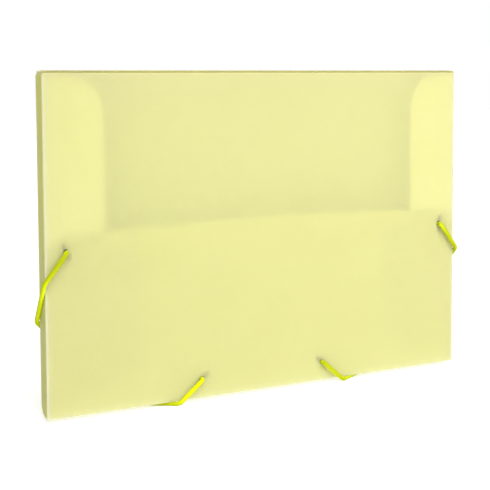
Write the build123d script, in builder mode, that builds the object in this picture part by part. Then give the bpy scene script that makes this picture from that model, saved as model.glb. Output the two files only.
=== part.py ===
from build123d import *
import os

os.makedirs("parts", exist_ok=True)

# A shallow box file, folded from one creased sheet and held shut by two round elastics.
# It stands on a long edge with its spine on top. X runs along the long edges, Y from the
# front cover to the back panel and Z up. The origin is midway along the box and across
# its depth, at the height of the surface that the elastics stand on.

# Outside of the folded sheet
width = 350.0
height = 240.0
depth = 15.0

# Sheet and creases
sheet = 0.5
crease_gap = 0.1  # from the round bead of a crease to the panel that swings on it
wall_gap = 0.3  # where two walls meet at a corner of the box
flap_gap = 0.15  # from one folded layer to the next
cover_corner = 1.5
spine_corner = 2.0
wall_foot = 7.5  # rounded lower rear end of the side walls, and ends of the bottom wall
wall_head = 2.0
wall_drop = 1.0  # top of the side walls below the top of the spine

# Flap that rises from the bottom wall, its free edge an arc that is highest in the middle
bottom_flap_side_height = 126.0
bottom_flap_rise = 5.0
bottom_flap_corner = 15.0

# Flaps on the side walls, narrow above and wide where the bottom flap hides them
side_flap_drop = 3.0  # top edge of the flap below the top of the spine, clear of the cover as both swing
side_flap_reach = 43.0
side_flap_corner = 25.0
side_flap_step_drop = 122.0
side_flap_low_reach = 69.0
side_flap_low_corner = 8.0
side_flap_foot_rise = 1.7
side_flap_foot_corner = 15.0
side_flap_taper = 23.0  # rise of the lower edge from the wall to the inner corner

# Round elastics, and the flat metal tips that anchor their ends behind the cover
cord_diameter = 3.0
cord_gap = 0.3  # from a tight strand to the sheet that it passes over
hole_gap = 0.4  # around the cord in its hole
cord_exit_bend = 3.0
cord_edge_bend = 6.5
cord_exit_lift = 2.7  # centre of the cord off the cover, just past its hole
foot_run_inset = 4.5  # ends of the stretch that the box stands on, measured from its corners
tip_length = 14.0
tip_width = 2.6
tip_thickness = 1.2
tip_slip = 0.15

# Cord holes, measured inward from the side and upward from the bottom of the cover
upper_hole_rise = 116.0
lower_hole_rise = 14.0
left_upper_hole_inset = 15.0
right_upper_hole_inset = 14.5
left_lower_hole_inset = 118.0
right_lower_hole_inset = 127.5

# Where the elastics cross the edges of the box
side_front_rise = 95.0
side_rear_rise = 65.7
left_rear_inset = 70.0
left_front_inset = 99.0
right_rear_inset = 76.0
right_front_inset = 109.0

# Tilt of the tips from upright, in degrees
left_upper_tip_tilt = 23.0
right_upper_tip_tilt = -10.0
left_lower_tip_tilt = -50.0
right_lower_tip_tilt = 50.0

# Outer faces of the box
half_width = width / 2
front = -depth / 2
rear = depth / 2
bottom = cord_diameter + cord_gap
top = bottom + height

# Middle of the sheet in each panel. Each crease is where two of these planes cross.
half_sheet = sheet / 2
wall_x = half_width - half_sheet
cover_y = front + half_sheet
rear_y = rear - half_sheet
floor_z = bottom + half_sheet
spine_z = top - half_sheet
bottom_flap_y = cover_y + half_sheet + tip_thickness + tip_slip + half_sheet
side_flap_y = bottom_flap_y + sheet + flap_gap
crease_start = half_sheet + crease_gap  # where the sheet goes on beyond a crease
wall_rear = rear_y - crease_start

# Centre of a strand that passes over a face
strand_off = cord_diameter / 2 + cord_gap


def facing_front(y):
    """Plane of an upright panel at depth y, with X across and Z up."""
    return Plane.XZ.offset(-y)


def crease_bead(start, end):
    """Round edge of a panel, which the next panel swings on."""
    axis = Vector(*end) - Vector(*start)
    with BuildSketch(Plane(origin=start, z_dir=axis)) as end_face:
        Circle(half_sheet)
    extrude(end_face.sketch, amount=axis.length)


# Back panel, with a crease on each of its four sides
with BuildPart() as back_panel:
    with BuildSketch(facing_front(rear_y)):
        with Locations((0, (floor_z + spine_z) / 2)):
            Rectangle(2 * wall_x, spine_z - floor_z)
        fillet(vertices().group_by(Axis.Y)[0], wall_foot)
        fillet(vertices().group_by(Axis.Y)[-1], spine_corner)
    extrude(amount=half_sheet, both=True)
    for edge_x in (-wall_x, wall_x):
        crease_bead((edge_x, rear_y, floor_z + wall_foot), (edge_x, rear_y, spine_z - spine_corner))
    crease_bead((wall_foot - wall_x, rear_y, floor_z), (wall_x - wall_foot, rear_y, floor_z))
    crease_bead((spine_corner - wall_x, rear_y, spine_z), (wall_x - spine_corner, rear_y, spine_z))
back_panel.part.label = "back_panel"

# Bottom wall, which the box stands on, with the crease of the bottom flap in front
with BuildPart() as bottom_wall:
    with BuildSketch(Plane.XY.offset(floor_z)):
        with Locations((0, (bottom_flap_y + wall_rear) / 2)):
            Rectangle(width, wall_rear - bottom_flap_y)
        fillet(vertices().group_by(Axis.Y)[-1], wall_foot)
    extrude(amount=half_sheet, both=True)
    crease_bead((-half_width, bottom_flap_y, floor_z), (half_width, bottom_flap_y, floor_z))
bottom_wall.part.label = "bottom_wall"

# Spine, with the crease of the cover in front
with BuildPart() as spine:
    with BuildSketch(Plane.XY.offset(spine_z)):
        with Locations((0, (cover_y + wall_rear) / 2)):
            Rectangle(width, wall_rear - cover_y)
        fillet(vertices().group_by(Axis.Y)[-1], spine_corner)
    extrude(amount=half_sheet, both=True)
    crease_bead((-half_width, cover_y, spine_z), (half_width, cover_y, spine_z))
spine.part.label = "spine"

# Front cover, with the four cord holes
hole_places = [
    (left_upper_hole_inset - half_width, bottom + upper_hole_rise),
    (left_lower_hole_inset - half_width, bottom + lower_hole_rise),
    (half_width - right_upper_hole_inset, bottom + upper_hole_rise),
    (half_width - right_lower_hole_inset, bottom + lower_hole_rise),
]
cover_top = spine_z - crease_start
with BuildPart() as front_cover:
    with BuildSketch(facing_front(cover_y)):
        with Locations((0, (bottom + cover_top) / 2)):
            Rectangle(width, cover_top - bottom)
        fillet(vertices().group_by(Axis.Y)[0], cover_corner)
        with Locations(*hole_places):
            Circle(cord_diameter / 2 + hole_gap, mode=Mode.SUBTRACT)
    extrude(amount=half_sheet, both=True)
front_cover.part.label = "front_cover"

# Bottom flap, folded up behind the cover
flap_base = floor_z + crease_start
flap_side_top = bottom + bottom_flap_side_height
with BuildPart() as bottom_flap:
    with BuildSketch(facing_front(bottom_flap_y)):
        with BuildLine():
            Polyline(
                (-half_width, flap_side_top),
                (-half_width, flap_base),
                (half_width, flap_base),
                (half_width, flap_side_top),
            )
            ThreePointArc(
                (half_width, flap_side_top),
                (0, flap_side_top + bottom_flap_rise),
                (-half_width, flap_side_top),
            )
        make_face()
        fillet(vertices().group_by(Axis.Y)[-1], bottom_flap_corner)
    extrude(amount=half_sheet, both=True)
bottom_flap.part.label = "bottom_flap"


def side_wall(side):
    """Side wall, with side -1 on the left and 1 on the right, and its flap's crease in front."""
    foot_z = bottom + sheet + wall_gap
    head_z = top - wall_drop
    with BuildPart() as wall:
        with BuildSketch(Plane.YZ.offset(side * wall_x)):
            with Locations(((side_flap_y + wall_rear) / 2, (foot_z + head_z) / 2)):
                Rectangle(wall_rear - side_flap_y, head_z - foot_z)
            fillet(vertices().group_by(Axis.X)[-1].sort_by(Axis.Y)[:1], wall_foot)
            fillet(vertices().group_by(Axis.X)[-1].sort_by(Axis.Y)[-1:], wall_head)
        extrude(amount=half_sheet, both=True)
        crease_bead((side * wall_x, side_flap_y, foot_z), (side * wall_x, side_flap_y, head_z))
    return wall.part


def side_flap(side):
    """Flap on a side wall, folded in between the bottom flap and the papers."""
    crease_x = wall_x - crease_start
    foot_z = bottom + sheet + wall_gap + side_flap_foot_rise
    head_z = top - side_flap_drop
    step_z = top - side_flap_step_drop
    upper_x = half_width - side_flap_reach
    lower_x = half_width - side_flap_low_reach
    with BuildPart() as flap:
        with BuildSketch(facing_front(side_flap_y)):
            with BuildLine() as outline:
                FilletPolyline(
                    (side * crease_x, foot_z),
                    (side * crease_x, head_z),
                    (side * upper_x, head_z),
                    (side * upper_x, step_z),
                    (side * lower_x, step_z),
                    (side * lower_x, foot_z + side_flap_taper),
                    close=True,
                    radius=[
                        0,
                        0,
                        side_flap_corner,
                        side_flap_low_corner,
                        side_flap_low_corner,
                        side_flap_foot_corner,
                    ],
                )
            make_face()
        extrude(amount=half_sheet, both=True)
    return flap.part


left_wall = side_wall(-1)
left_wall.label = "left_wall"
right_wall = side_wall(1)
right_wall.label = "right_wall"
left_flap = side_flap(-1)
left_flap.label = "left_flap"
right_flap = side_flap(1)
right_flap.label = "right_flap"


def cord_route(side, upper_inset, lower_inset, rear_inset, front_inset):
    """Points of a tight elastic, from its upper hole round the corner to its lower hole."""
    edge_x = side * (half_width + strand_off)
    front_y = front - strand_off
    rear_strand_y = rear + strand_off
    under_z = bottom - strand_off
    upper_x = side * (half_width - upper_inset)
    lower_x = side * (half_width - lower_inset)
    return [
        Vector(upper_x, front + sheet, bottom + upper_hole_rise),
        Vector(upper_x, front - cord_exit_lift, bottom + upper_hole_rise),
        Vector(edge_x, front_y, bottom + side_front_rise),
        Vector(edge_x, rear_strand_y, bottom + side_rear_rise),
        Vector(side * (half_width - rear_inset), rear_strand_y, under_z),
        Vector(side * (half_width - front_inset), front_y, under_z),
        Vector(lower_x, front - cord_exit_lift, bottom + lower_hole_rise),
        Vector(lower_x, front + sheet, bottom + lower_hole_rise),
    ]


def strand(points, radii):
    """One stretch of elastic along straight runs joined by arcs."""
    with BuildPart() as tube:
        with BuildLine() as route:
            FilletPolyline(*points, radius=radii)
        with BuildSketch(Plane(origin=route.line @ 0, z_dir=route.line % 0)) as section:
            Circle(cord_diameter / 2)
        sweep(path=route.line)
    along = section.sketch.area * sum(edge.length for edge in route.edges())
    print(f"radii {radii}, volume {tube.part.volume:.2f} of {along:.2f}")
    return tube.part


def elastic(route):
    """The strands on either side of the box's foot, and the straight strand under it."""
    under = (route[5] - route[4]).normalized() * foot_run_inset
    rear_end = route[4] + under
    front_end = route[5] - under
    upper_bends = [cord_exit_bend, cord_edge_bend, cord_edge_bend, cord_edge_bend]
    upper = strand(route[:5] + [rear_end], upper_bends)
    lower = strand([front_end] + route[5:], [cord_edge_bend, cord_exit_bend])
    with BuildPart() as body:
        add(upper)
        add(lower)
    with BuildPart() as foot:
        with BuildSketch(Plane(origin=rear_end, z_dir=under)):
            Circle(cord_diameter / 2)
        extrude(amount=(front_end - rear_end).length)
    return body.part, foot.part


left_route = cord_route(
    -1, left_upper_hole_inset, left_lower_hole_inset, left_rear_inset, left_front_inset
)
right_route = cord_route(
    1, right_upper_hole_inset, right_lower_hole_inset, right_rear_inset, right_front_inset
)
left_elastic, left_elastic_foot = elastic(left_route)
left_elastic.label = "left_elastic"
left_elastic_foot.label = "left_elastic_foot"
right_elastic, right_elastic_foot = elastic(right_route)
right_elastic.label = "right_elastic"
right_elastic_foot.label = "right_elastic_foot"


def tip(place, tilt):
    """Flat metal tip, crimped on the end of an elastic and lying across its hole."""
    with BuildPart() as bar:
        with BuildSketch(facing_front(front + sheet)):
            with Locations(Location((place.X, place.Z), 90 + tilt)):
                SlotOverall(tip_length, tip_width)
        extrude(amount=-tip_thickness)
    return bar.part


left_upper_tip = tip(left_route[0], left_upper_tip_tilt)
left_upper_tip.label = "left_upper_tip"
left_lower_tip = tip(left_route[-1], left_lower_tip_tilt)
left_lower_tip.label = "left_lower_tip"
right_upper_tip = tip(right_route[0], right_upper_tip_tilt)
right_upper_tip.label = "right_upper_tip"
right_lower_tip = tip(right_route[-1], right_lower_tip_tilt)
right_lower_tip.label = "right_lower_tip"

pieces = [
    back_panel.part,
    left_wall,
    right_wall,
    bottom_wall.part,
    spine.part,
    front_cover.part,
    bottom_flap.part,
    left_flap,
    right_flap,
    left_elastic,
    left_elastic_foot,
    right_elastic,
    right_elastic_foot,
    left_upper_tip,
    left_lower_tip,
    right_upper_tip,
    right_lower_tip,
]
for piece in pieces:
    export_step(piece, f"parts/{piece.label}.step")
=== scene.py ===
# %% [markdown]
# # A translucent box file, one cell at a time
# The real object is one die-cut sheet of frosted yellow polypropylene, folded into a shallow box
# for papers. Two round elastics hold it shut. The solid model gives the places and sizes. This
# file gives the looks: the thin sheet with its pressed creases, the elastics, their metal tips,
# the light and the camera.

# %% The solid model
from math import cos, pi, radians, sin

import bmesh
import bpy
from mathutils import Matrix, Vector


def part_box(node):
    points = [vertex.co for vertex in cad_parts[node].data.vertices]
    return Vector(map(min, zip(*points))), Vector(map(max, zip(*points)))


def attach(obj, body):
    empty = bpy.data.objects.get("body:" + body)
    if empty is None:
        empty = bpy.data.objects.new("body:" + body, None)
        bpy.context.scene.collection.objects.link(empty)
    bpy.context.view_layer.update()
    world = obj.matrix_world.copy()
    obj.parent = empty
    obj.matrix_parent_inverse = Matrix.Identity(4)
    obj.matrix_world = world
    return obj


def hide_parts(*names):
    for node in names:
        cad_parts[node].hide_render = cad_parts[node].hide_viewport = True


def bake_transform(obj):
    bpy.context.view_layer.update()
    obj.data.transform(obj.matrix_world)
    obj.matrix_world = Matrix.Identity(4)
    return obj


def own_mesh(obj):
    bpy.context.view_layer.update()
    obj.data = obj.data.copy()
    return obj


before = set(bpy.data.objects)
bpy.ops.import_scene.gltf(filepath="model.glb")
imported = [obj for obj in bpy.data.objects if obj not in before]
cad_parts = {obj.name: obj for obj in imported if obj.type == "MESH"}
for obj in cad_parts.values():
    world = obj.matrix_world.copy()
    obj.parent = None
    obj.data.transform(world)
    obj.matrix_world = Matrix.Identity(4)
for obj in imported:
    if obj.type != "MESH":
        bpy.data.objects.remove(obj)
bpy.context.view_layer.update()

# %% [markdown]
# ## Small helpers
# An operator works on what is selected, so each step starts from nothing selected. In edit mode,
# points are picked by their place, as one would with a box selection. Modifiers are applied, so
# the mesh holds what is seen. All lengths are in metres.

# %% Helpers for picking and finishing
ON_LINE = 0.0001  # a point this near to a line counts as on it
AT_CORNER = 0.001  # a point this near to an edge's height counts as one of its corners


def only(piece):
    """Selects one piece and nothing else."""
    if bpy.context.object and bpy.context.object.mode != "OBJECT":
        bpy.ops.object.mode_set(mode="OBJECT")
    bpy.ops.object.select_all(action="DESELECT")
    piece.select_set(True)
    bpy.context.view_layer.objects.active = piece


def start_shaping(piece):
    """Takes one piece into edit mode."""
    only(piece)
    bpy.ops.object.mode_set(mode="EDIT")


def stop_shaping():
    """Leaves edit mode."""
    bpy.ops.object.mode_set(mode="OBJECT")


def pick_points(piece, here):
    """In edit mode, selects the points whose place passes the test here."""
    mesh = bmesh.from_edit_mesh(piece.data)
    for face in mesh.faces:
        face.select_set(False)
    for edge in mesh.edges:
        edge.select_set(False)
    for point in mesh.verts:
        point.select_set(bool(here(point.co)))
    mesh.select_flush_mode()
    bmesh.update_edit_mesh(piece.data)


def apply(piece, kind, **settings):
    """Adds a modifier with its settings and applies it."""
    only(piece)
    modifier = piece.modifiers.new(kind.title(), kind)
    for name, value in settings.items():
        setattr(modifier, name, value)
    bpy.ops.object.modifier_apply(modifier=modifier.name)


# %% [markdown]
# ## Sheet sizes
# A sheet for such a box is usually half a millimetre thick. The planes of the panels come from the
# solid model, so each panel of the scene lies exactly where the solid one does.

# %% Sizes of the sheet
gauge = 0.0005
low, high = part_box("front_cover")
cover_mid = (low + high) / 2
half_width = high.x
cover_foot, cover_top = low.z, high.z
cover_size = [round(1000 * length, 1) for length in high - low]
print("cover, in millimetres across, deep and high:", cover_size)

# %% [markdown]
# ## Cutting a panel
# A die cuts the sheet flat. So a panel starts as a flat plane at its size and place, its corners
# are rounded, and it gets its thickness last. Lines across it (bisect) give it points to bend at,
# close together beside a fold and wide apart elsewhere.

# %% Helpers for the panels
TURNS = {"front": (pi / 2, 0, 0), "side": (pi / 2, 0, pi / 2), "floor": (0, 0, 0)}
UPRIGHTS, LEVELS = 17, 11  # lines ruled up and across a large panel
PLATE_CORNER = 0.002  # radius of the corners where the back, the walls and the spine meet


def blank(name, facing, lowest, highest):
    """A flat blank between two corners, facing the front, the side or up."""
    bpy.ops.object.select_all(action="DESELECT")
    centre = (Vector(lowest) + Vector(highest)) / 2
    span = Vector(highest) - Vector(lowest)
    bpy.ops.mesh.primitive_plane_add(size=1, location=centre, rotation=TURNS[facing])
    piece = bpy.context.object
    piece.name = piece.data.name = name
    across = span.y if facing == "side" else span.x
    piece.scale = (across, span.y if facing == "floor" else span.z, 1)
    bpy.ops.object.transform_apply(location=True, rotation=True, scale=True)
    return piece


def round_corners(piece, radius, here, segments=10):
    """Rounds the corners that pass the test."""
    start_shaping(piece)
    pick_points(piece, here)
    bpy.ops.mesh.bevel(offset=radius, offset_type="OFFSET", segments=segments, affect="VERTICES")
    stop_shaping()


def rule_lines(piece, axis, places):
    """Cuts the panel's faces along lines square to an axis, at these places."""
    start_shaping(piece)
    for place in places:
        bpy.ops.mesh.select_all(action="SELECT")
        at, way = [0, 0, 0], [0, 0, 0]
        at[axis], way[axis] = place, 1
        bpy.ops.mesh.bisect(plane_co=at, plane_no=way)
    stop_shaping()


def steps(start, end, count):
    """Places spread evenly between two ends, without the ends."""
    return [start + (end - start) * k / (count + 1) for k in range(1, count + 1)]


# %% [markdown]
# ## Creases
# Polypropylene is folded along a line that a blunt rule presses in, about 1.2 mm wide. The bent
# sheet turns paler there, because tiny voids open in it. The line could be left to the material,
# but pressed into the mesh it also catches the light: its middle is moved in by 0.08 mm. The paler
# band is painted as a value on the mesh, which the material reads. The same value also paints
# light and shade: a painted highlight along the cover's edges, and painted shade on the spine's
# front slope.

# %% Helpers for the creases
PRESS_DEPTH = 0.00008
PRESS_WIDTH = 0.0012
PRESS_INSET = 0.0014  # from a panel's edge to the middle of the pressed line beside it
REAR_INSET = 0.0012  # the same at the rear edge of the bottom and side walls


def press_line(piece, axis, place, inward):
    """Presses a line into the panel, at a place along an axis, towards inward."""
    rule_lines(piece, axis, [place - PRESS_WIDTH / 2, place, place + PRESS_WIDTH / 2])
    start_shaping(piece)
    pick_points(piece, lambda co: abs(co[axis] - place) < ON_LINE)
    bpy.ops.transform.translate(value=Vector(inward) * PRESS_DEPTH)
    stop_shaping()


def mark_whitening_and_light(piece, marked_lines, reach=0.0026):
    """Paints nearness to a line (axis, place), 1 on it, 0 from reach on: whitening and painted
    light.
    """
    whitening_and_painted_light = piece.data.attributes.new("whitening_and_painted_light", "FLOAT", "POINT")
    for point, value in zip(piece.data.vertices, whitening_and_painted_light.data):
        near = min(abs(point.co[axis] - place) for axis, place in marked_lines)
        value.value = max(0.0, 1 - near / reach)


def thicken(piece, thickness=gauge, ease=0.00007):
    """Gives the cut panel its gauge, and eases the edges that the die leaves."""
    apply(piece, "SOLIDIFY", thickness=thickness, offset=0, use_even_offset=True)
    apply(piece, "BEVEL", width=ease, segments=2, limit_method="ANGLE", angle_limit=radians(50))
    start_shaping(piece)
    bpy.ops.mesh.select_all(action="SELECT")
    bpy.ops.mesh.remove_doubles(threshold=0.000002)
    bpy.ops.mesh.normals_make_consistent(inside=False)
    stop_shaping()
    bpy.ops.object.shade_smooth_by_angle(angle=radians(35))


def swell(piece, here, push, reach):
    """Moves the picked points by push, and their neighbours by less, as a sheet bows."""
    start_shaping(piece)
    pick_points(piece, here)
    bpy.ops.transform.translate(
        value=push, use_proportional_edit=True, proportional_edit_falloff="SMOOTH",
        proportional_size=reach,
    )
    stop_shaping()


def fit_panel(piece, node, body, material):
    """The finished panel takes its solid's place, moves with its body and wears its material."""
    piece.data.materials.clear()
    piece.data.materials.append(material)
    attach(piece, body)
    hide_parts(node)
    print(f"{piece.name}: {len(piece.data.polygons)} faces, in the place of {node}")


# %% [markdown]
# ## Colour and nodes
# Colours are written as the hex values that a screen shows, and Blender works in linear light, so
# one function turns one into the other. One more adds any node with its settings and links. A Mix
# node has sockets for each kind of value: 2 and 3 take numbers, 6 and 7 take colours.

# %% Helpers for the materials
def linear(hex_colour):
    """The linear RGBA of an sRGB hex colour."""
    parts = [int(hex_colour[k : k + 2], 16) / 255 for k in (1, 3, 5)]
    return [c / 12.92 if c <= 0.04045 else ((c + 0.055) / 1.055) ** 2.4 for c in parts] + [1.0]


def add_node(tree, kind, inputs=(), **settings):
    """Adds a node. Each of inputs is (socket, value or an output to link)."""
    node = tree.nodes.new(kind)
    for name, value in settings.items():
        setattr(node, name, value)
    for socket, value in inputs:
        if isinstance(value, bpy.types.NodeSocket):
            tree.links.new(value, node.inputs[socket])
        else:
            node.inputs[socket].default_value = value
    return node


def new_material(name):
    """A material whose node tree is still empty, and that tree."""
    material = bpy.data.materials.new(name)
    material.use_nodes = True
    material.node_tree.nodes.clear()
    return material, material.node_tree


# %% [markdown]
# ## Frosted polypropylene
# The sheet is extruded polypropylene, pressed between rollers with a fine sand texture, and tinted
# a pastel yellow. Each face sends some of the light back and lets the rest through, scattered, so
# what touches it from behind shows softly and what is far behind doesn't. A diffuse shader and a
# Translucent one, mixed, do just that, and a small clear share keeps the flaps' edges readable. It
# is one plastic with six settings: the renderer follows light through only a few layers, so the
# cover passes most of it and the flaps less, which gives the photograph's paler flaps and deeper
# window. The sand grain is about 0.4 mm on the real sheet. Its bump is drawn at 0.9 mm, because a
# finer one would vanish in a picture of the whole box. A cloud about 35 mm wide drifts the tone.

# %% Material: frosted polypropylene sheet
SAND_GRAIN = 0.0009
CLOUD = 0.035


def frosted_sheet(name, passed, clear_share, tones):
    """Frosted polypropylene that passes this share of the light, scattered, and a share clear."""
    material, tree = new_material(name)
    place = add_node(tree, "ShaderNodeTexCoord").outputs["Object"]
    grain = add_node(
        tree,
        "ShaderNodeTexNoise",
        [("Vector", place), ("Scale", 1 / SAND_GRAIN), ("Detail", 2.0), ("Roughness", 0.6)],
    ).outputs["Fac"]
    cloud = add_node(
        tree,
        "ShaderNodeTexNoise",
        [("Vector", place), ("Scale", 1 / CLOUD), ("Detail", 3.0), ("Roughness", 0.5)],
    ).outputs["Fac"]
    bump = add_node(
        tree, "ShaderNodeBump", [("Height", grain), ("Strength", 0.8), ("Distance", 0.0002)]
    ).outputs["Normal"]
    # The value on the mesh: crease whitening, and painted light and shade on the cover and spine.
    whitening_and_painted_light = add_node(tree, "ShaderNodeAttribute", attribute_name="whitening_and_painted_light").outputs["Fac"]
    fleck = add_node(
        tree, "ShaderNodeMix", [(0, 0.5), (2, cloud), (3, grain)], data_type="FLOAT"
    ).outputs[0]

    def toned(dark, light, whitening_and_light_tone):
        drift = add_node(
            tree,
            "ShaderNodeMix",
            [("Factor", fleck), (6, linear(dark)), (7, linear(light))],
            data_type="RGBA",
        ).outputs[2]
        return add_node(
            tree,
            "ShaderNodeMix",
            [("Factor", whitening_and_painted_light), (6, drift), (7, linear(whitening_and_light_tone))],
            data_type="RGBA",
        ).outputs[2]

    face = add_node(
        tree,
        "ShaderNodeBsdfPrincipled",
        [("Base Color", toned(*tones)), ("Roughness", 0.42), ("IOR", 1.49), ("Normal", bump)],
    )
    through = add_node(
        tree, "ShaderNodeBsdfTranslucent", [("Color", toned(*tones)), ("Normal", bump)]
    )
    clear = add_node(tree, "ShaderNodeBsdfTransparent", [("Color", linear("#FAF9DC"))])
    body_share = add_node(
        tree, "ShaderNodeMixShader", [(0, passed), (1, face.outputs[0]), (2, through.outputs[0])]
    )
    seen_share = add_node(
        tree,
        "ShaderNodeMixShader",
        [(0, clear_share), (1, body_share.outputs[0]), (2, clear.outputs[0])],
    )
    add_node(tree, "ShaderNodeOutputMaterial", [("Surface", seen_share.outputs[0])])
    print(name, "has", len(tree.nodes), "nodes")
    return material


back_material = frosted_sheet(
    "frosted_polypropylene_back", 0.62, 0.05, ("#F3F3D0", "#F6F6D8", "#FBFBF2")
)
# The walls' copy is a deeper olive: painted shade, for walls seen nearly edge on through much
# plastic.
painted_shade_wall_material = frosted_sheet(
    "frosted_polypropylene_wall_painted_shade", 0.62, 0.05, ("#E6E6A0", "#EAEAA8", "#F2F2C4")
)
# The spine's third tone is a deeper olive: painted shade on its front slope.
spine_material = frosted_sheet(
    "frosted_polypropylene_spine", 0.88, 0.05, ("#F7F5DE", "#F9F7E4", "#DEDBB2")
)
cover_material = frosted_sheet(
    "frosted_polypropylene_cover", 0.85, 0.12, ("#F6F6DD", "#F9F9E5", "#FEFDF4")
)
bottom_flap_material = frosted_sheet(
    "frosted_polypropylene_bottom_flap", 0.5, 0.05, ("#F4F4D4", "#F7F7DC", "#FBFBF2")
)
side_flap_material = frosted_sheet(
    "frosted_polypropylene_side_flap", 0.33, 0.05, ("#F6F6DC", "#F9F9E2", "#FCFCF0")
)

# %% [markdown]
# ## Front cover
# The big face. It is cut as one panel with two rounded lower corners. It could be a box squashed
# flat, but a plane that gets its thickness last keeps one even gauge, as a sheet has. Its edges
# are paler than its face, in a band 1.8 mm wide, so a line is ruled where the band ends. Along the
# sides the band is a painted highlight, for cut edges that catch the light; along the top it is the
# crease's own whitening and painted light from the spine above.

# %% Front cover: cutting the panel
EDGE_BAND = 0.0018
COVER_CORNER = 0.0015
COVER_INSET = 0.0011  # from its top edge to the middle of the pressed line
cover = blank(
    "cover_panel",
    "front",
    (-half_width, cover_mid.y, cover_foot),
    (half_width, cover_mid.y, cover_top),
)
round_corners(cover, COVER_CORNER, lambda co: co.z < cover_foot + AT_CORNER)
rule_lines(cover, 0, steps(-half_width, half_width, UPRIGHTS))
below_crease = cover_top - 0.0028
rule_lines(cover, 2, steps(cover_foot, cover_top, LEVELS) + [cover_foot + EDGE_BAND, below_crease])
rule_lines(cover, 0, [EDGE_BAND - half_width, half_width - EDGE_BAND])
press_line(cover, 2, cover_top - COVER_INSET, (0, 1, 0))
# Painted highlight: a paler band along the sides and top, with the crease's own whitening at the
# top.
mark_whitening_and_light(cover, [(2, cover_top), (0, -half_width), (0, half_width)], reach=EDGE_BAND)
thicken(cover)
print("cover cut:", len(cover.data.vertices), "points")

# %% [markdown]
# ## Holes for the elastics
# The four holes are made as the real ones are, by a round punch that goes through the sheet. A
# Boolean with a cylinder does that, and leaves a clean round edge however the lines run. The upper
# ones are a little wider, as they look in the photograph.

# %% Front cover: punching the holes
left_holes = [(-0.160, 0.1193), (-0.057, 0.0173)]  # upper and lower, (x, z)
right_holes = [(0.1605, 0.1193), (0.0475, 0.0173)]
UPPER_HOLE, LOWER_HOLE = 0.0046, 0.004
hole_sizes = (UPPER_HOLE, LOWER_HOLE, UPPER_HOLE, LOWER_HOLE)
for (x, z), hole_size in zip(left_holes + right_holes, hole_sizes):
    bpy.ops.object.select_all(action="DESELECT")
    bpy.ops.mesh.primitive_cylinder_add(
        vertices=40,
        radius=hole_size / 2,
        depth=0.004,
        location=(x, cover_mid.y, z),
        rotation=TURNS["front"],
    )
    punch = bpy.context.object
    apply(cover, "BOOLEAN", operation="DIFFERENCE", solver="EXACT", object=punch)
    bpy.data.objects.remove(punch)
bpy.ops.object.shade_smooth_by_angle(angle=radians(35))
print("cover with its holes:", len(cover.data.vertices), "points")

# %% [markdown]
# ## The cover's bow
# A thin sheet is never quite flat. The elastics pull only at the corners, so the middle bows out by
# half a millimetre, and the upper right dips a little. Proportional editing moves a few points and
# lets the rest follow, which is quicker than placing each one.

# %% Front cover: its slight bow
swell(
    cover,
    lambda co: abs(co.x + 0.03) < 0.02 and abs(co.z - 0.115) < 0.02,
    push=(0, -0.0005, 0),
    reach=0.09,
)
swell(
    cover,
    lambda co: abs(co.x - 0.09) < 0.015 and abs(co.z - 0.19) < 0.015,
    push=(0, 0.0002, 0),
    reach=0.045,
)
fit_panel(cover, "front_cover", "cover", cover_material)

# %% [markdown]
# ## Spine
# The spine is the narrow top face, between two creases. Closed, it springs up by about 1.4 mm
# between them, so from the front a thin band of it shows above the cover. A bend modifier could
# arch it, but the arch is steeper in front, so lines along it are ruled and then lifted one by
# one. On this panel the value that marks the creases paints the front slope a deeper olive
# instead: painted shade, for a slope seen almost edge on through much plastic.

# %% Spine
CROWN = [  # the lines' place across the spine in metres, and their rise in millimetres
    (-0.0067, 0.0), (-0.0061, 0.5), (-0.0048, 0.95), (-0.0028, 1.25),
    (0.0, 1.4), (0.0028, 1.3), (0.0048, 1.0), (0.0061, 0.6),
]
low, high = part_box("spine")
spine_mid = (low.z + high.z) / 2
spine_front = low.y + 0.00005  # just inside the solid's front edge
spine_panel = blank(
    "spine_panel", "floor", (low.x, spine_front, spine_mid), (high.x, high.y, spine_mid)
)
round_corners(spine_panel, PLATE_CORNER, lambda co: co.y > 0)
rule_lines(spine_panel, 0, steps(low.x, high.x, UPRIGHTS))
rule_lines(spine_panel, 1, [place_y for place_y, rise in CROWN])
for place_y, rise in CROWN:
    start_shaping(spine_panel)
    pick_points(spine_panel, lambda co: abs(co.y - place_y) < ON_LINE)
    bpy.ops.transform.translate(value=(0, 0, rise / 1000))
    stop_shaping()
# Painted shade: the value deepens the front slope to olive.
mark_whitening_and_light(spine_panel, [(1, low.y)], reach=0.007)
thicken(spine_panel)
fit_panel(spine_panel, "spine", "spine", spine_material)

# %% [markdown]
# ## Back panel
# The back carries the spine and the other three walls, so it has a pressed line beside each of its
# four creases. Its lower corners are rounded wide, so that the elastics run round them, and the
# upper ones only a little. How round the real ones are can't be seen. It bows out like the cover.

# %% Back panel
BACK_CORNER = 0.0075
low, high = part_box("back_panel")
back_mid = (low.y + high.y) / 2
back = blank("back_panel_sheet", "front", (low.x, back_mid, low.z), (high.x, back_mid, high.z))
round_corners(back, BACK_CORNER, lambda co: co.z < low.z + AT_CORNER)
round_corners(back, PLATE_CORNER, lambda co: co.z > high.z - AT_CORNER, segments=5)
rule_lines(back, 0, steps(low.x, high.x, UPRIGHTS))
rule_lines(back, 2, steps(low.z, high.z, LEVELS))
for axis in (0, 2):
    for place in (low[axis] + PRESS_INSET, high[axis] - PRESS_INSET):
        press_line(back, axis, place, (0, -1, 0))
mark_whitening_and_light(back, [(0, low.x), (0, high.x), (2, low.z), (2, high.z)])
thicken(back)
swell(
    back,
    lambda co: abs(co.x - 0.02) < 0.02 and abs(co.z - 0.12) < 0.02,
    push=(0, 0.0004, 0),
    reach=0.08,
)
fit_panel(back, "back_panel", "tray", back_material)

# %% [markdown]
# ## Bottom wall
# The box stands on this narrow strip. It is cut like the spine but stays flat, with a pressed line
# beside each of its two long creases, and its rear corners follow the back panel's.

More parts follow.
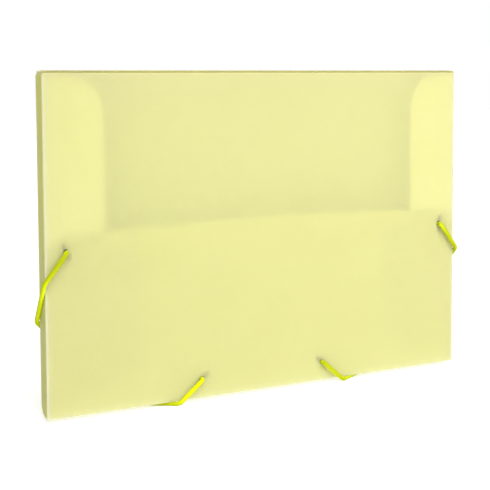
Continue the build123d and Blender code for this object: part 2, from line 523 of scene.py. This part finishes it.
# %% Bottom wall
BOTTOM_CORNER = 0.0072
low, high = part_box("bottom_wall")
floor_mid = (low.z + high.z) / 2
bottom_wall = blank(
    "bottom_wall_sheet", "floor", (low.x, low.y, floor_mid), (high.x, high.y, floor_mid)
)
round_corners(bottom_wall, BOTTOM_CORNER, lambda co: co.y > 0)
rule_lines(bottom_wall, 0, steps(low.x, high.x, UPRIGHTS))
for place_y in (low.y + PRESS_INSET, high.y - REAR_INSET):
    press_line(bottom_wall, 1, place_y, (0, 0, 1))
mark_whitening_and_light(bottom_wall, [(1, low.y), (1, high.y)])
thicken(bottom_wall)
fit_panel(bottom_wall, "bottom_wall", "tray", back_material)

# %% [markdown]
# ## Bottom flap
# The flap is folded up behind the cover, to a little above half height. Its free edge is an arc, so
# that it slides in without catching on the papers. The arc could be drawn as a curve and filled,
# but here the points of the straight edge are raised, each by its own amount, which keeps the
# lines across the flap even. Its two upper corners are rounded last.

# %% Bottom flap
EDGE_RISE = 0.005  # how much higher the free edge is in the middle than at its ends
FLAP_CORNER = 0.0148  # radius of its two corners
CORNER_WIDE, CORNER_HIGH = 0.015, 0.018  # the part of the flap that each of them needs
low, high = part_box("bottom_flap")
flap_mid = (low.y + high.y) / 2
side_top = high.z - EDGE_RISE
corner_left, corner_right = low.x + CORNER_WIDE, high.x - CORNER_WIDE
bottom_flap = blank(
    "bottom_flap_sheet", "front", (low.x, flap_mid, low.z), (high.x, flap_mid, side_top)
)
rule_lines(
    bottom_flap, 0, [corner_left, corner_right] + steps(corner_left, corner_right, 21)
)
corner_foot = side_top - CORNER_HIGH
rule_lines(bottom_flap, 2, [low.z + 0.003] + steps(low.z, corner_foot, 6) + [corner_foot])
start_shaping(bottom_flap)
pick_points(bottom_flap, lambda co: co.z > side_top - ON_LINE)
edge_line = bmesh.from_edit_mesh(bottom_flap.data)
for point in edge_line.verts:
    if point.select:
        point.co.z += EDGE_RISE * (1 - (point.co.x / half_width) ** 2)
bmesh.update_edit_mesh(bottom_flap.data)
stop_shaping()
round_corners(
    bottom_flap,
    FLAP_CORNER,
    lambda co: abs(co.x) > half_width - AT_CORNER and co.z > side_top - AT_CORNER,
    segments=12,
)
press_line(bottom_flap, 2, low.z + 0.0012, (0, 1, 0))
mark_whitening_and_light(bottom_flap, [(2, low.z)])
thicken(bottom_flap)
fit_panel(bottom_flap, "bottom_flap", "bottom_flap", bottom_flap_material)
print(f"bottom flap reaches {1000 * high.z:.1f} mm up")

# %% [markdown]
# ## Side walls
# The two narrow walls stand between the cover and the back. They are the same but for their side,
# so one loop makes both, with the places mirrored by a sign. A mirrored copy would do as well, but
# it turns the faces inside out, and they would have to be turned back.

# %% Side walls
WALL_CORNER = 0.0073
for side, name in ((-1, "left_wall"), (1, "right_wall")):
    low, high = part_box(name)
    mid_x = (low.x + high.x) / 2
    wall = blank(name + "_sheet", "side", (mid_x, low.y, low.z), (mid_x, high.y, high.z))
    round_corners(wall, WALL_CORNER, lambda co: co.y > 0 and co.z < low.z + AT_CORNER, 12)
    round_corners(wall, PLATE_CORNER, lambda co: co.y > 0 and co.z > high.z - AT_CORNER, 5)
    straight_from, straight_to = low.z + 0.008, high.z - 0.004
    rule_lines(wall, 2, steps(straight_from, straight_to, 12))
    for place_y in (low.y + PRESS_INSET, high.y - REAR_INSET):
        press_line(wall, 1, place_y, (-side, 0, 0))
    mark_whitening_and_light(wall, [(1, low.y), (1, high.y)])
    thicken(wall)
    fit_panel(wall, name, "tray", painted_shade_wall_material)

# %% [markdown]
# ## Side flaps
# Each side wall carries a flap that is folded in behind the cover. It is narrow above, with a
# rounded corner that shows through the cover, and wider below, where the bottom flap hides it. The
# narrow strip is cut first, and its lower edge is then drawn out (extrude) to the wide part, which
# leaves the step between the two as a clean corner to round.

# %% Side flaps
NARROW_REACH = 0.0426  # width of the upper part, from the crease
STEP_HEIGHT = 0.1213  # the wide part ends here
FOOT_SLOPE, SLOPE_SHARE = 0.023, 0.62  # height of the slanted foot, and how far its corner is cut
SHOULDER_CORNER, FLAP_FOOT_CORNER = 0.025, 0.008  # radii at the narrow part's top, the wide part
for side, name in ((-1, "left_flap"), (1, "right_flap")):
    low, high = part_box(name)
    mid_y = (low.y + high.y) / 2
    crease_x, wide_x = (low.x, high.x) if side < 0 else (high.x, low.x)
    narrow_x = crease_x - side * NARROW_REACH
    left_x, right_x = min(crease_x, narrow_x), max(crease_x, narrow_x)
    flap = blank(name + "_sheet", "front", (left_x, mid_y, low.z), (right_x, mid_y, high.z))

    def on_narrow_edge(co):
        return abs(co.x - narrow_x) < ON_LINE

    rule_lines(flap, 2, [STEP_HEIGHT, low.z + FOOT_SLOPE])
    start_shaping(flap)
    pick_points(
        flap, lambda co: on_narrow_edge(co) and low.z + 0.02 < co.z < STEP_HEIGHT + AT_CORNER
    )
    bpy.ops.mesh.extrude_region_move(TRANSFORM_OT_translate={"value": (wide_x - narrow_x, 0, 0)})
    bpy.ops.mesh.select_all(action="SELECT")
    bpy.ops.mesh.remove_doubles(threshold=0.00001)
    pick_points(flap, lambda co: on_narrow_edge(co) and co.z < low.z + AT_CORNER)
    bpy.ops.transform.translate(value=(0, 0, FOOT_SLOPE * SLOPE_SHARE))
    stop_shaping()
    round_corners(
        flap, SHOULDER_CORNER, lambda co: on_narrow_edge(co) and co.z > high.z - AT_CORNER, 18
    )
    round_corners(flap, FLAP_FOOT_CORNER, lambda co: abs(co.x - wide_x) < ON_LINE, 8)
    rule_lines(flap, 0, [crease_x - side * 0.003])
    press_line(flap, 0, crease_x - side * 0.0013, (0, 1, 0))
    mark_whitening_and_light(flap, [(0, crease_x)])
    thicken(flap)
    fit_panel(flap, name, name, side_flap_material)

# %% [markdown]
# ## Living hinges
# At a crease the sheet is pressed to about half its gauge and bends there without breaking. Each
# working crease is a thin strip of its own, folded at rest from one panel into the next. All of it
# is bent sheet, so the value that marks the creases is as good as 1 over the whole strip.

# %% Living hinges
HINGE_REACH = 0.0009  # how far the strip lies in each of the two panels
HINGE_GAUGE = 0.0003
HINGE_BEND = 0.00025  # how far the round of the fold goes into each panel
ALL_BENT = 10.0  # a reach so long that the whole strip counts as bent


def living_hinge(name, facing, lowest, highest, crease, first_way, second_way, bodies):
    """A strip in the first body's panel that bends at the crease and goes on into the second's."""
    first_way, second_way, crease = Vector(first_way), Vector(second_way), Vector(crease)

    def on_crease(co):
        return abs((co - crease).dot(first_way)) < ON_LINE

    strip = blank(name, facing, lowest, highest)
    start_shaping(strip)
    pick_points(strip, on_crease)
    bpy.ops.mesh.extrude_region_move(TRANSFORM_OT_translate={"value": second_way * HINGE_REACH})
    pick_points(
        strip, lambda co: on_crease(co) and abs((co - crease).dot(second_way)) < ON_LINE
    )
    bpy.ops.mesh.bevel(offset=HINGE_BEND, segments=4, affect="EDGES")
    stop_shaping()
    mark_whitening_and_light(strip, [(0, crease.x)], reach=ALL_BENT)
    thicken(strip, thickness=HINGE_GAUGE, ease=0.00004)
    strip.data.materials.append(painted_shade_wall_material)
    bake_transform(strip)
    print(f"{name}: {len(strip.data.polygons)} faces, bends between {bodies[0]} and {bodies[1]}")


spine_z, floor_z = 0.24305, 0.00355  # where the middle of each sheet lies
cover_y, back_y, wall_x = -0.00725, 0.00725, 0.17475
bottom_flap_y, side_flap_y = -0.0054, -0.00475
full_x, spine_x = 0.1747, 0.1722  # half the length of the long creases, and of the spine's rear one
living_hinge(
    "cover_crease",
    "floor",
    (-full_x, cover_y, spine_z),
    (full_x, cover_y + HINGE_REACH, spine_z),
    crease=(0, cover_y, spine_z),
    first_way=(0, 1, 0),
    second_way=(0, 0, -1),
    bodies=("spine", "cover"),
)
living_hinge(
    "spine_crease",
    "front",
    (-spine_x, back_y, spine_z - HINGE_REACH),
    (spine_x, back_y, spine_z),
    crease=(0, back_y, spine_z),
    first_way=(0, 0, -1),
    second_way=(0, -1, 0),
    bodies=("tray", "spine"),
)
living_hinge(
    "bottom_flap_crease",
    "floor",
    (-full_x, bottom_flap_y, floor_z),
    (full_x, bottom_flap_y + HINGE_REACH, floor_z),
    crease=(0, bottom_flap_y, floor_z),
    first_way=(0, 1, 0),
    second_way=(0, 0, 1),
    bodies=("tray", "bottom_flap"),
)
for side, name in ((-1, "left_flap"), (1, "right_flap")):
    living_hinge(
        name + "_crease",
        "side",
        (side * wall_x, side_flap_y, 0.0065),
        (side * wall_x, side_flap_y + HINGE_REACH, 0.2407),
        crease=(side * wall_x, side_flap_y, 0.12),
        first_way=(0, 1, 0),
        second_way=(-side, 0, 0),
        bodies=("tray", name),
    )

# %% [markdown]
# ## Braided elastic
# Each elastic is a rubber core with a braided polyester cover, dyed neon yellow. The neon dye is a
# yellow with no blue in it at all, and the matt yarns shine little. Real yarns cross at a slant,
# about 0.8 mm apart, which is too fine to show in a picture of the whole box. Two slanted waves are
# multiplied here, as the yarns cross. They lie on the tube's own UV map, which runs from 0 to 1
# along and around it, and are far coarser than the yarns: they drift the tone along the cord. The
# two colours they mix are the tube's lit crest and its shaded side, so the darker one is painted
# shade, drifting along the cord rather than lying at the tube's sides.

# %% Material: braided elastic
YARN_SLANT = 32  # degrees
WAVE_SCALE = 0.6250199  # gives waves about half the UV map long
elastic_material, tree = new_material("braided_polyester_elastic_neon")
cord_map = add_node(tree, "ShaderNodeUVMap", uv_map="UVMap").outputs["UV"]
yarns = []
for slant in (YARN_SLANT, -YARN_SLANT):
    turned = add_node(
        tree, "ShaderNodeMapping", [("Vector", cord_map), ("Rotation", (0, 0, radians(slant)))]
    ).outputs["Vector"]
    wave = add_node(
        tree,
        "ShaderNodeTexWave",
        [("Vector", turned), ("Scale", WAVE_SCALE), ("Distortion", 0.3), ("Detail", 1.0)],
        bands_direction="X",
    )
    yarns.append(wave.outputs["Fac"])
crossing = add_node(
    tree, "ShaderNodeMath", [(0, yarns[0]), (1, yarns[1])], operation="MULTIPLY"
).outputs[0]
# Painted shade: the darker colour is the tube's shaded side, the lighter its lit crest.
yarn_and_painted_shade_colour = add_node(
    tree,
    "ShaderNodeMix",
    [("Factor", crossing), (6, linear("#A8B200")), (7, linear("#DCEA00"))],
    data_type="RGBA",
).outputs[2]
yarn_bump = add_node(
    tree, "ShaderNodeBump", [("Height", crossing), ("Strength", 0.6), ("Distance", 0.00015)]
).outputs["Normal"]
cord_face = add_node(
    tree,
    "ShaderNodeBsdfPrincipled",
    [
        ("Base Color", yarn_and_painted_shade_colour),
        ("Roughness", 0.62),
        ("IOR", 1.57),
        ("Normal", yarn_bump),
        ("Specular IOR Level", 0.1),
    ],
)
add_node(tree, "ShaderNodeOutputMaterial", [("Surface", cord_face.outputs[0])])
print(elastic_material.name, "has", len(tree.nodes), "nodes")

# %% [markdown]
# ## The elastics' routes
# Each one comes straight out of its upper hole, runs tight over the front edge of the side wall,
# behind the lower corner, over the bottom edges and back up into its lower hole. The points are
# those of the solid model's route, in metres, with a few more close to each edge, so that
# the smooth spline turns there and nowhere else. A spline of order 3 stays on the straight runs
# and rounds each edge. The cords are 3 mm thick in the solid model and 3.4 mm here, as fuzzy as
# the photograph shows them, and the box's weight squeezes them a little where it stands on them.

# %% Elastics
CORD = 0.0034
UNDER_BOX = 0.00165  # height of the cord's middle line where the box stands on it
routes = {
    "left": [
        (-0.1602, -0.0070, 0.1189), (-0.1604, -0.0097, 0.1187), (-0.1634, -0.0099, 0.1151),
        (-0.1737, -0.0095, 0.1022), (-0.1768, -0.0093, 0.0983), (-0.1768, -0.0066, 0.0941),
        (-0.1768, 0.0066, 0.0733), (-0.1768, 0.0093, 0.0690), (-0.1731, 0.0093, 0.0656),
        (-0.1087, 0.0093, 0.0049), (-0.105, 0.0093, UNDER_BOX), (-0.1007, 0.0066, UNDER_BOX),
        (-0.0803, -0.0066, UNDER_BOX), (-0.076, -0.0093, UNDER_BOX), (-0.0722, -0.0095, 0.0047),
        (-0.0598, -0.0100, 0.0150), (-0.0571, -0.0100, 0.0173), (-0.0570, -0.0070, 0.0173),
    ],
    "right": [
        (0.1608, -0.0070, 0.1189), (0.1610, -0.0097, 0.1186), (0.1638, -0.0099, 0.1151),
        (0.1737, -0.0095, 0.1023), (0.1766, -0.0093, 0.0985), (0.1768, -0.0068, 0.0960),
        (0.1768, 0.0066, 0.0808), (0.1768, 0.0093, 0.0772), (0.1729, 0.0093, 0.0734),
        (0.1028, 0.0093, 0.0052), (0.099, 0.0093, UNDER_BOX), (0.0945, 0.0068, UNDER_BOX),
        (0.0705, -0.0068, UNDER_BOX), (0.066, -0.0093, UNDER_BOX), (0.0622, -0.0095, 0.0048),
        (0.0503, -0.0100, 0.0149), (0.0476, -0.0100, 0.0173), (0.0475, -0.0070, 0.0173),
    ],
}


def elastic_cord(name, points):
    """A round cord whose middle line is a smooth spline with these control points."""
    curve = bpy.data.curves.new(name, "CURVE")
    curve.dimensions = "3D"
    curve.resolution_u = 16
    spline = curve.splines.new("NURBS")
    spline.points.add(len(points) - 1)
    for control, point in zip(spline.points, points):
        control.co = (*point, 1)
    spline.order_u = 3
    spline.use_endpoint_u = True
    cord = bpy.data.objects.new(name, curve)
    bpy.context.scene.collection.objects.link(cord)
    middle_line = bpy.data.meshes.new_from_object(cord)
    places = [point.co.copy() for point in middle_line.vertices]
    ends = [(places[edge.vertices[0]], places[edge.vertices[1]]) for edge in middle_line.edges]
    length = sum((end - start).length for start, end in ends)
    bpy.data.meshes.remove(middle_line)
    curve.bevel_depth = CORD / 2
    curve.bevel_resolution = 5
    curve.use_fill_caps = True
    only(cord)
    bpy.ops.object.convert(target="MESH")
    cord = bpy.context.object
    print(f"{name}: {1000 * length:.1f} mm long, {len(cord.data.vertices)} points")
    return cord


for side, points in routes.items():
    cord = elastic_cord(side + "_elastic_cord", points)
    bpy.ops.object.shade_smooth()
    start_shaping(cord)
    pick_points(cord, lambda co: co.z < CORD)
    bpy.ops.transform.resize(value=(1, 1, 0.94), center_override=(0, 0, UNDER_BOX))
    stop_shaping()
    cord.data.materials.clear()
    cord.data.materials.append(elastic_material)
    print(f"{side} cord carries the UV map {cord.data.uv_layers[0].name}")
    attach(cord, side + "_elastic")
    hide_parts(side + "_elastic", side + "_elastic_foot")
    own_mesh(cord)
    print(f"{side} cord lies flat on the cover once it is let off the corner")

# %% [markdown]
# ## Cord ends
# Each end of an elastic goes through its hole to the tip behind the cover. That short end stays
# with the cover when the rest is let off the corner, so it is a piece of its own. It starts as a
# flat disc, is drawn out through the sheet, and its end is rounded.

# %% Cord ends
END_INSIDE = -0.0064  # the stub starts at this depth, behind the cover
END_LENGTH, END_RADIUS, END_ROUND = 0.0036, 0.00145, 0.0009
hole_names = ("left_upper", "left_lower", "right_upper", "right_lower")
for side, (x, z) in zip(hole_names, left_holes + right_holes):
    bpy.ops.object.select_all(action="DESELECT")
    bpy.ops.mesh.primitive_circle_add(
        vertices=32,
        radius=END_RADIUS,
        fill_type="NGON",
        location=(x, END_INSIDE, z),
        rotation=TURNS["front"],
    )
    stub = bpy.context.object
    stub.name = stub.data.name = side + "_cord_end"
    bpy.ops.object.transform_apply(location=True, rotation=True, scale=True)
    start_shaping(stub)
    bpy.ops.mesh.select_all(action="SELECT")
    bpy.ops.mesh.extrude_region_move(TRANSFORM_OT_translate={"value": (0, -END_LENGTH, 0)})
    pick_points(stub, lambda co: co.y < END_INSIDE - END_LENGTH + ON_LINE)
    bpy.ops.mesh.bevel(offset=END_ROUND, segments=5, affect="EDGES")
    bpy.ops.mesh.select_all(action="SELECT")
    bpy.ops.mesh.normals_make_consistent(inside=False)
    bpy.ops.uv.smart_project(angle_limit=radians(60))
    stop_shaping()
    bpy.ops.object.shade_smooth_by_angle(angle=radians(40))
    stub.data.uv_layers[0].name = "UVMap"
    stub.data.materials.append(elastic_material)
    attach(stub, "cover")
print("four cord ends stay in their holes")

# %% [markdown]
# ## Zinc-plated steel
# A flat steel tip is crimped on each end of the elastics. It is stamped from strip and tumbled in a
# zinc bath, which leaves it a dull grey. A fine noise in the roughness, 0.6 mm wide, breaks up its
# gloss. Behind the frosted cover only a dark blur of it shows.

# %% Material: zinc-plated steel tip
MOTTLE = 0.0006
tip_material, tree = new_material("zinc_plated_steel_crimped")
place = add_node(tree, "ShaderNodeTexCoord").outputs["Object"]
mottle = add_node(
    tree, "ShaderNodeTexNoise", [("Vector", place), ("Scale", 1 / MOTTLE), ("Detail", 3.0)]
).outputs["Fac"]
tip_roughness = add_node(
    tree, "ShaderNodeMapRange", [(0, mottle), (3, 0.32), (4, 0.5)]
).outputs[0]
tip_face = add_node(
    tree,
    "ShaderNodeBsdfPrincipled",
    [("Base Color", linear("#50504C")), ("Metallic", 1.0), ("Roughness", tip_roughness)],
)
add_node(tree, "ShaderNodeOutputMaterial", [("Surface", tip_face.outputs[0])])
print(tip_material.name, "has", len(tree.nodes), "nodes")

# %% [markdown]
# ## Metal tips
# A tip lies across its hole behind the cover, so the cord can't pull out. It is pressed from a
# strip 0.6 mm thick: two arms that taper towards rounded ends, and in the middle a barrel, folded
# round the cord and squeezed. It starts as a flat plane. Lines across it give the barrel and the
# arms their places, the arms are scaled narrower towards their ends, and the barrel is made wider
# and thicker.

# %% Metal tips
TIP_LENGTH, TIP_WIDTH, TIP_GAUGE = 0.0138, 0.0018, 0.0006
TIP_DEPTH = -0.0061  # the middle of the tip lies at this depth, behind the cover
BARREL, SHOULDER, ARM = 0.0015, 0.0021, 0.0045  # half lengths of the tip's parts, from its middle


def metal_tip(name, hole, tilt):
    """A crimped tip behind a hole, turned by tilt degrees from upright."""
    bpy.ops.object.select_all(action="DESELECT")
    bpy.ops.mesh.primitive_plane_add(size=1, location=(0, 0, 0), rotation=TURNS["front"])
    piece = bpy.context.object
    piece.name = piece.data.name = name
    piece.scale = (TIP_WIDTH, TIP_LENGTH, 1)
    bpy.ops.object.transform_apply(location=True, rotation=True, scale=True)
    rule_lines(piece, 2, [-ARM, -SHOULDER, -BARREL, BARREL, SHOULDER, ARM])
    for place, width in ((TIP_LENGTH / 2, 0.6), (ARM, 0.8), (BARREL, 1.5)):
        start_shaping(piece)
        pick_points(piece, lambda co: abs(abs(co.z) - place) < ON_LINE)
        bpy.ops.transform.resize(value=(width, 1, 1), center_override=(0, 0, 0))
        stop_shaping()
    round_corners(piece, 0.0005, lambda co: abs(co.z) > TIP_LENGTH / 2 - ON_LINE, 5)
    apply(piece, "SOLIDIFY", thickness=TIP_GAUGE, offset=0, use_even_offset=True)
    start_shaping(piece)
    pick_points(piece, lambda co: abs(co.z) < BARREL + ON_LINE)
    bpy.ops.transform.resize(value=(1, 2.6, 1), center_override=(0, TIP_GAUGE / 2, 0))
    stop_shaping()
    apply(
        piece, "BEVEL", width=0.00018, segments=2, limit_method="ANGLE", angle_limit=radians(40)
    )
    start_shaping(piece)
    bpy.ops.mesh.select_all(action="SELECT")
    bpy.ops.mesh.normals_make_consistent(inside=False)
    stop_shaping()
    bpy.ops.object.shade_smooth_by_angle(angle=radians(40))
    piece.rotation_euler = (0, radians(-tilt), 0)
    piece.location = (hole[0], TIP_DEPTH, hole[1])
    bpy.ops.object.transform_apply(location=True, rotation=True, scale=True)
    piece.data.materials.append(tip_material)
    print(f"{name}: {len(piece.data.polygons)} faces, {tilt} degrees from upright")
    return piece


for name, hole, tilt in (
    ("left_upper_tip", left_holes[0], 23),
    ("left_lower_tip", left_holes[1], -50),
    ("right_upper_tip", right_holes[0], -10),
    ("right_lower_tip", right_holes[1], 50),
):
    tip = metal_tip(name + "_crimped", hole, tilt)
    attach(tip, "cover")
    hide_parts(name)

# %% [markdown]
# ## Studio floor
# The photograph's ground is pure white, with hardly a shadow. A plain pale sheet of paper would
# turn grey under soft light, so this one also gives off a little light of its own.

# %% Studio floor
bpy.ops.object.select_all(action="DESELECT")
bpy.ops.mesh.primitive_plane_add(size=12, location=(0, 0, 0))
floor = bpy.context.object
floor.name = "studio_floor"
floor_material, tree = new_material("matt_white_studio_paper")
floor_face = add_node(
    tree,
    "ShaderNodeBsdfPrincipled",
    [
        ("Base Color", linear("#D8D8D6")),
        ("Roughness", 0.9),
        ("Emission Color", linear("#FFFFFF")),
        ("Emission Strength", 0.56),
    ],
)
add_node(tree, "ShaderNodeOutputMaterial", [("Surface", floor_face.outputs[0])])
floor.data.materials.append(floor_material)
print("the floor is not part of the box file")

# %% [markdown]
# ## White surroundings
# Round the object all is white, as the photograph's background is. A world that bright would wash
# out every shade on the plastic, so only the camera sees it at full strength, and the object is
# lit by a quarter of it.

# %% White surroundings
world = bpy.data.worlds.new("white_studio")
bpy.context.scene.world = world
world.use_nodes = True
surround = world.node_tree
surround.nodes.clear()
white = ("Color", (1, 1, 1, 1))
seen = add_node(surround, "ShaderNodeBackground", [white, ("Strength", 1.0)])
lit = add_node(surround, "ShaderNodeBackground", [white, ("Strength", 0.25)])
path = add_node(surround, "ShaderNodeLightPath")
both = add_node(
    surround,
    "ShaderNodeMixShader",
    [(0, path.outputs["Is Camera Ray"]), (1, lit.outputs[0]), (2, seen.outputs[0])],
)
add_node(surround, "ShaderNodeOutputWorld", [("Surface", both.outputs[0])])
print("the surroundings have", len(surround.nodes), "nodes")

# %% [markdown]
# ## Lamps
# The light comes softly from above and in front, and a second, weaker one from the right keeps the
# far side of the cover from going dull. A sun lamp with a wide angle gives soft shadows at any
# distance, and a square area lamp stands in for a soft box close by.

# %% Lamps
def soft_box(name, place, target, size, power, colour):
    """A square area lamp that faces a point."""
    lamp = bpy.data.lights.new(name, "AREA")
    lamp.shape = "SQUARE"
    lamp.size = size
    lamp.energy = power
    lamp.color = linear(colour)[:3]
    holder = bpy.data.objects.new(name, lamp)
    bpy.context.scene.collection.objects.link(holder)
    holder.location = place
    holder.rotation_euler = (Vector(target) - Vector(place)).to_track_quat("-Z", "Y").to_euler()
    print(f"{name}: {power} W, {size} m wide")


def soft_light(name, place, strength, spread):
    """A broad, far light that shines from a place to the origin, as wide as spread in degrees."""
    lamp = bpy.data.lights.new(name, "SUN")
    lamp.energy = strength
    lamp.angle = radians(spread)
    holder = bpy.data.objects.new(name, lamp)
    bpy.context.scene.collection.objects.link(holder)
    holder.rotation_euler = (-Vector(place)).to_track_quat("-Z", "Y").to_euler()
    print(f"{name}: strength {strength}, {spread} degrees wide")


soft_light("key_soft_light", (-0.12, -0.8, 1.3), 2.7, 50)
soft_box("right_soft_box", (0.75, -1.05, 0.6), (0.05, 0, 0.12), 0.8, 9, "#FFF8F5")
bpy.context.scene.view_settings.view_transform = "Standard"

# %% [markdown]
# ## Camera
# The photograph was taken from the left front, about at the height of the spine, looking slightly
# down. The place, the angles and the lens come from a fit to the corners of the box in it. The
# view is framed with the camera's shift, because tilting it more would make the uprights lean.

# %% Camera
camera_place = (-0.4152, -0.7493, 0.2362)
azimuth, elevation, roll = radians(28.05), radians(-4.21), radians(-0.28)
ahead = Vector((sin(azimuth) * cos(elevation), cos(azimuth) * cos(elevation), sin(elevation)))
right = Vector((cos(azimuth), -sin(azimuth), 0))
up = right.cross(ahead)
right, up = cos(roll) * right + sin(roll) * up, -sin(roll) * right + cos(roll) * up
camera = bpy.data.objects.new("photo_camera", bpy.data.cameras.new("photo_camera"))
bpy.context.scene.collection.objects.link(camera)
camera.matrix_world = Matrix(
    [(right[k], up[k], -ahead[k], camera_place[k]) for k in range(3)] + [(0, 0, 0, 1)]
)
camera.data.sensor_width = 36
camera.data.lens = 83.17
camera.data.shift_y = -0.163
bpy.context.scene.camera = camera
print(f"the camera stands {1000 * Vector(camera_place).length:.0f} mm from the middle of the base")
